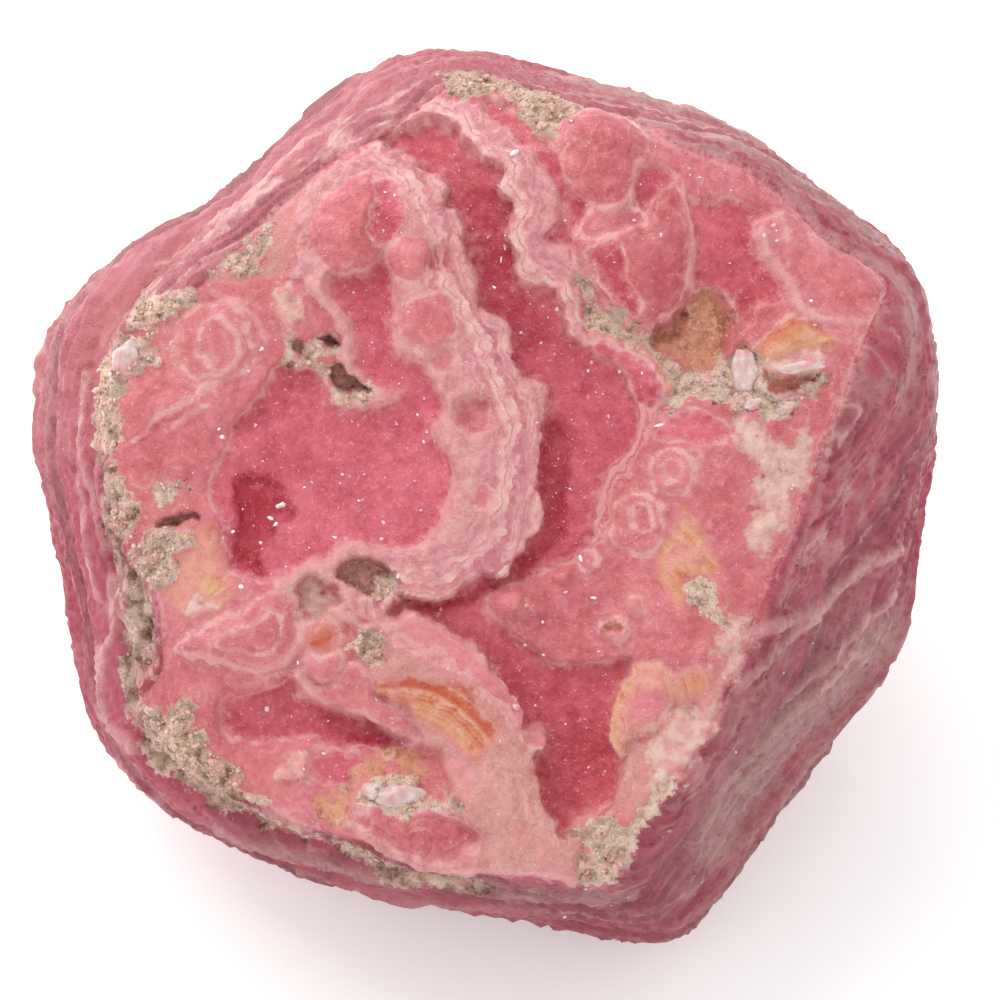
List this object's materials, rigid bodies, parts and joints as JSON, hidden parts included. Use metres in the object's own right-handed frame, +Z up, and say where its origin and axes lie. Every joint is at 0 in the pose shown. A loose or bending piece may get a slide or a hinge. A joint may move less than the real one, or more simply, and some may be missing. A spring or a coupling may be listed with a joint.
{
  "type": "rough banded rhodochrosite stone",
  "caption": "Chunky rough rhodochrosite stone with a broad banded pink face, layered broken sides and a flat fracture to rest on.",
  "frame": {"origin": "middle of the bounding box's footprint, on the flat fracture that the stone rests on", "axes": "+Z up; the broad banded face leans back and faces -Y and up, 55 degrees above the horizon; +X to the right of someone facing it"},
  "size_m": [0.0494, 0.0438, 0.0388],
  "materials": {
    "banded_stone": "Banded manganese carbonate: deep rose and pale pink growth layers with a waxy, faintly translucent lustre, pale clay matrix and amber stains in the hollows"
  },
  "bodies": {
    "root": {"rhodochrosite": "banded_stone"}
  },
  "joints": []
}
